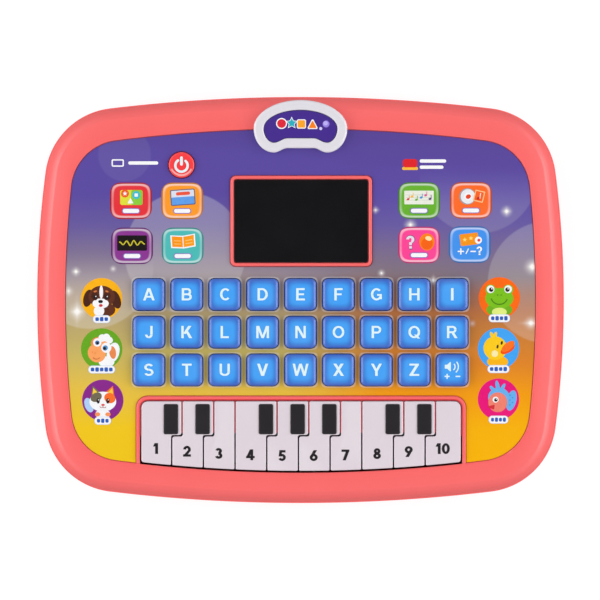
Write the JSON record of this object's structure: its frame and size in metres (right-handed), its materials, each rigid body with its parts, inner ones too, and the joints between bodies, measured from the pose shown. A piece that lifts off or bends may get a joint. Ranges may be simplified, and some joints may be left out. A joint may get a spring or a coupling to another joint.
{
  "type": "kids toy tablet",
  "caption": "Flat rounded toy tablet with spring letter caps, a small stepped-key piano, a dark display window, a raised badge and a battery door on its back.",
  "frame": {"origin": "centre of the outline on the plane that the back lies on", "axes": "+Z out of the key side, +Y towards the badge, +X to the right seen from the key side"},
  "size_m": [0.24, 0.185, 0.025],
  "materials": {
    "coral_plastic": "smooth coral moulding, soft gloss",
    "printed_film": "printed film, violet at the top to orange and yellow at the foot",
    "screen": "polished near-black window",
    "white_plastic": "polished white",
    "purple_plastic": "satin purple",
    "blue_plastic": "polished blue caps with pale letters",
    "ivory_plastic": "satin off-white with black pads and numerals",
    "red_plastic": "polished red",
    "dome_rubber": "matte grey silicone",
    "circuit_board": "green laminate",
    "speaker_body": "black frame and cone",
    "cell_wrap": "plain green sleeve",
    "steel": "plated steel"
  },
  "bodies": {
    "casing": {"front_shell": "coral_plastic", "back_shell": "coral_plastic", "graphic_overlay": "printed_film", "screen_window": "screen", "badge_frame": "white_plastic", "badge_insert": "purple_plastic", "letter_key_mat": "dome_rubber", "piano_key_mat": "dome_rubber", "main_board": "circuit_board", "display_module": "circuit_board", "speaker": "speaker_body", "battery_cell_1": "cell_wrap", "battery_cell_2": "cell_wrap", "battery_cell_3": "cell_wrap", "battery_contact_left": "steel", "battery_contact_right": "steel", "case_screw_1": "steel", "case_screw_2": "steel", "case_screw_3": "steel", "case_screw_4": "steel"},
    "power_button": {"power_button": "red_plastic"},
    "key_a": {"key_a": "blue_plastic"},
    "key_b": {"key_b": "blue_plastic"},
    "key_c": {"key_c": "blue_plastic"},
    "key_d": {"key_d": "blue_plastic"},
    "key_e": {"key_e": "blue_plastic"},
    "key_f": {"key_f": "blue_plastic"},
    "key_g": {"key_g": "blue_plastic"},
    "key_h": {"key_h": "blue_plastic"},
    "key_i": {"key_i": "blue_plastic"},
    "key_j": {"key_j": "blue_plastic"},
    "key_k": {"key_k": "blue_plastic"},
    "key_l": {"key_l": "blue_plastic"},
    "key_m": {"key_m": "blue_plastic"},
    "key_n": {"key_n": "blue_plastic"},
    "key_o": {"key_o": "blue_plastic"},
    "key_p": {"key_p": "blue_plastic"},
    "key_q": {"key_q": "blue_plastic"},
    "key_r": {"key_r": "blue_plastic"},
    "key_s": {"key_s": "blue_plastic"},
    "key_t": {"key_t": "blue_plastic"},
    "key_u": {"key_u": "blue_plastic"},
    "key_v": {"key_v": "blue_plastic"},
    "key_w": {"key_w": "blue_plastic"},
    "key_x": {"key_x": "blue_plastic"},
    "key_y": {"key_y": "blue_plastic"},
    "key_z": {"key_z": "blue_plastic"},
    "key_volume": {"key_volume": "blue_plastic"},
    "piano_key_1": {"piano_key_1": "ivory_plastic"},
    "piano_key_2": {"piano_key_2": "ivory_plastic"},
    "piano_key_3": {"piano_key_3": "ivory_plastic"},
    "piano_key_4": {"piano_key_4": "ivory_plastic"},
    "piano_key_5": {"piano_key_5": "ivory_plastic"},
    "piano_key_6": {"piano_key_6": "ivory_plastic"},
    "piano_key_7": {"piano_key_7": "ivory_plastic"},
    "piano_key_8": {"piano_key_8": "ivory_plastic"},
    "piano_key_9": {"piano_key_9": "ivory_plastic"},
    "piano_key_10": {"piano_key_10": "ivory_plastic"},
    "battery_door": {"battery_door": "coral_plastic"},
    "battery_door_screw": {"battery_door_screw": "steel"}
  },
  "joints": [
    {"name": "key_a_press", "type": "slide", "parent": "casing", "child": "key_a", "axis": [0, 0, -1], "range_m": [0, 0.0015], "stiffness_N_per_m": 400, "springref_m": -0.001},
    {"name": "key_b_press", "type": "slide", "parent": "casing", "child": "key_b", "axis": [0, 0, -1], "range_m": [0, 0.0015], "stiffness_N_per_m": 400, "springref_m": -0.001},
    {"name": "key_c_press", "type": "slide", "parent": "casing", "child": "key_c", "axis": [0, 0, -1], "range_m": [0, 0.0015], "stiffness_N_per_m": 400, "springref_m": -0.001},
    {"name": "key_d_press", "type": "slide", "parent": "casing", "child": "key_d", "axis": [0, 0, -1], "range_m": [0, 0.0015], "stiffness_N_per_m": 400, "springref_m": -0.001},
    {"name": "key_e_press", "type": "slide", "parent": "casing", "child": "key_e", "axis": [0, 0, -1], "range_m": [0, 0.0015], "stiffness_N_per_m": 400, "springref_m": -0.001},
    {"name": "key_f_press", "type": "slide", "parent": "casing", "child": "key_f", "axis": [0, 0, -1], "range_m": [0, 0.0015], "stiffness_N_per_m": 400, "springref_m": -0.001},
    {"name": "key_g_press", "type": "slide", "parent": "casing", "child": "key_g", "axis": [0, 0, -1], "range_m": [0, 0.0015], "stiffness_N_per_m": 400, "springref_m": -0.001},
    {"name": "key_h_press", "type": "slide", "parent": "casing", "child": "key_h", "axis": [0, 0, -1], "range_m": [0, 0.0015], "stiffness_N_per_m": 400, "springref_m": -0.001},
    {"name": "key_i_press", "type": "slide", "parent": "casing", "child": "key_i", "axis": [0, 0, -1], "range_m": [0, 0.0015], "stiffness_N_per_m": 400, "springref_m": -0.001},
    {"name": "key_j_press", "type": "slide", "parent": "casing", "child": "key_j", "axis": [0, 0, -1], "range_m": [0, 0.0015], "stiffness_N_per_m": 400, "springref_m": -0.001},
    {"name": "key_k_press", "type": "slide", "parent": "casing", "child": "key_k", "axis": [0, 0, -1], "range_m": [0, 0.0015], "stiffness_N_per_m": 400, "springref_m": -0.001},
    {"name": "key_l_press", "type": "slide", "parent": "casing", "child": "key_l", "axis": [0, 0, -1], "range_m": [0, 0.0015], "stiffness_N_per_m": 400, "springref_m": -0.001},
    {"name": "key_m_press", "type": "slide", "parent": "casing", "child": "key_m", "axis": [0, 0, -1], "range_m": [0, 0.0015], "stiffness_N_per_m": 400, "springref_m": -0.001},
    {"name": "key_n_press", "type": "slide", "parent": "casing", "child": "key_n", "axis": [0, 0, -1], "range_m": [0, 0.0015], "stiffness_N_per_m": 400, "springref_m": -0.001},
    {"name": "key_o_press", "type": "slide", "parent": "casing", "child": "key_o", "axis": [0, 0, -1], "range_m": [0, 0.0015], "stiffness_N_per_m": 400, "springref_m": -0.001},
    {"name": "key_p_press", "type": "slide", "parent": "casing", "child": "key_p", "axis": [0, 0, -1], "range_m": [0, 0.0015], "stiffness_N_per_m": 400, "springref_m": -0.001},
    {"name": "key_q_press", "type": "slide", "parent": "casing", "child": "key_q", "axis": [0, 0, -1], "range_m": [0, 0.0015], "stiffness_N_per_m": 400, "springref_m": -0.001},
    {"name": "key_r_press", "type": "slide", "parent": "casing", "child": "key_r", "axis": [0, 0, -1], "range_m": [0, 0.0015], "stiffness_N_per_m": 400, "springref_m": -0.001},
    {"name": "key_s_press", "type": "slide", "parent": "casing", "child": "key_s", "axis": [0, 0, -1], "range_m": [0, 0.0015], "stiffness_N_per_m": 400, "springref_m": -0.001},
    {"name": "key_t_press", "type": "slide", "parent": "casing", "child": "key_t", "axis": [0, 0, -1], "range_m": [0, 0.0015], "stiffness_N_per_m": 400, "springref_m": -0.001},
    {"name": "key_u_press", "type": "slide", "parent": "casing", "child": "key_u", "axis": [0, 0, -1], "range_m": [0, 0.0015], "stiffness_N_per_m": 400, "springref_m": -0.001},
    {"name": "key_v_press", "type": "slide", "parent": "casing", "child": "key_v", "axis": [0, 0, -1], "range_m": [0, 0.0015], "stiffness_N_per_m": 400, "springref_m": -0.001},
    {"name": "key_w_press", "type": "slide", "parent": "casing", "child": "key_w", "axis": [0, 0, -1], "range_m": [0, 0.0015], "stiffness_N_per_m": 400, "springref_m": -0.001},
    {"name": "key_x_press", "type": "slide", "parent": "casing", "child": "key_x", "axis": [0, 0, -1], "range_m": [0, 0.0015], "stiffness_N_per_m": 400, "springref_m": -0.001},
    {"name": "key_y_press", "type": "slide", "parent": "casing", "child": "key_y", "axis": [0, 0, -1], "range_m": [0, 0.0015], "stiffness_N_per_m": 400, "springref_m": -0.001},
    {"name": "key_z_press", "type": "slide", "parent": "casing", "child": "key_z", "axis": [0, 0, -1], "range_m": [0, 0.0015], "stiffness_N_per_m": 400, "springref_m": -0.001},
    {"name": "key_volume_press", "type": "slide", "parent": "casing", "child": "key_volume", "axis": [0, 0, -1], "range_m": [0, 0.0015], "stiffness_N_per_m": 400, "springref_m": -0.001},
    {"name": "piano_key_1_press", "type": "hinge", "parent": "casing", "child": "piano_key_1", "pos_m": [-0.06575, -0.0415, 0.0183], "axis": [1, 0, 0], "range_deg": [0, 3.2], "stiffness_Nm_per_rad": 0.4, "springref_deg": -1.15},
    {"name": "piano_key_2_press", "type": "hinge", "parent": "casing", "child": "piano_key_2", "pos_m": [-0.05135, -0.0415, 0.0183], "axis": [1, 0, 0], "range_deg": [0, 3.2], "stiffness_Nm_per_rad": 0.4, "springref_deg": -1.15},
    {"name": "piano_key_3_press", "type": "hinge", "parent": "casing", "child": "piano_key_3", "pos_m": [-0.03695, -0.0415, 0.0183], "axis": [1, 0, 0], "range_deg": [0, 3.2], "stiffness_Nm_per_rad": 0.4, "springref_deg": -1.15},
    {"name": "piano_key_4_press", "type": "hinge", "parent": "casing", "child": "piano_key_4", "pos_m": [-0.02255, -0.0415, 0.0183], "axis": [1, 0, 0], "range_deg": [0, 3.2], "stiffness_Nm_per_rad": 0.4, "springref_deg": -1.15},
    {"name": "piano_key_5_press", "type": "hinge", "parent": "casing", "child": "piano_key_5", "pos_m": [-0.00815, -0.0415, 0.0183], "axis": [1, 0, 0], "range_deg": [0, 3.2], "stiffness_Nm_per_rad": 0.4, "springref_deg": -1.15},
    {"name": "piano_key_6_press", "type": "hinge", "parent": "casing", "child": "piano_key_6", "pos_m": [0.00625, -0.0415, 0.0183], "axis": [1, 0, 0], "range_deg": [0, 3.2], "stiffness_Nm_per_rad": 0.4, "springref_deg": -1.15},
    {"name": "piano_key_7_press", "type": "hinge", "parent": "casing", "child": "piano_key_7", "pos_m": [0.02065, -0.0415, 0.0183], "axis": [1, 0, 0], "range_deg": [0, 3.2], "stiffness_Nm_per_rad": 0.4, "springref_deg": -1.15},
    {"name": "piano_key_8_press", "type": "hinge", "parent": "casing", "child": "piano_key_8", "pos_m": [0.03505, -0.0415, 0.0183], "axis": [1, 0, 0], "range_deg": [0, 3.2], "stiffness_Nm_per_rad": 0.4, "springref_deg": -1.15},
    {"name": "piano_key_9_press", "type": "hinge", "parent": "casing", "child": "piano_key_9", "pos_m": [0.04945, -0.0415, 0.0183], "axis": [1, 0, 0], "range_deg": [0, 3.2], "stiffness_Nm_per_rad": 0.4, "springref_deg": -1.15},
    {"name": "piano_key_10_press", "type": "hinge", "parent": "casing", "child": "piano_key_10", "pos_m": [0.06385, -0.0415, 0.0183], "axis": [1, 0, 0], "range_deg": [0, 3.2], "stiffness_Nm_per_rad": 0.4, "springref_deg": -1.15},
    {"name": "power_button_press", "type": "slide", "parent": "casing", "child": "power_button", "axis": [0, 0, -1], "range_m": [0, 0.001], "stiffness_N_per_m": 500, "springref_m": -0.001},
    {"name": "battery_door_swing", "type": "hinge", "parent": "casing", "child": "battery_door", "pos_m": [0, 0.01605, 0.0022], "axis": [-1, 0, 0], "range_deg": [0, 30]},
    {"name": "battery_door_screw_turn", "type": "hinge", "parent": "battery_door", "child": "battery_door_screw", "pos_m": [0, 0.0565, 0.005], "axis": [0, 0, 1], "continuous": true}
  ]
}
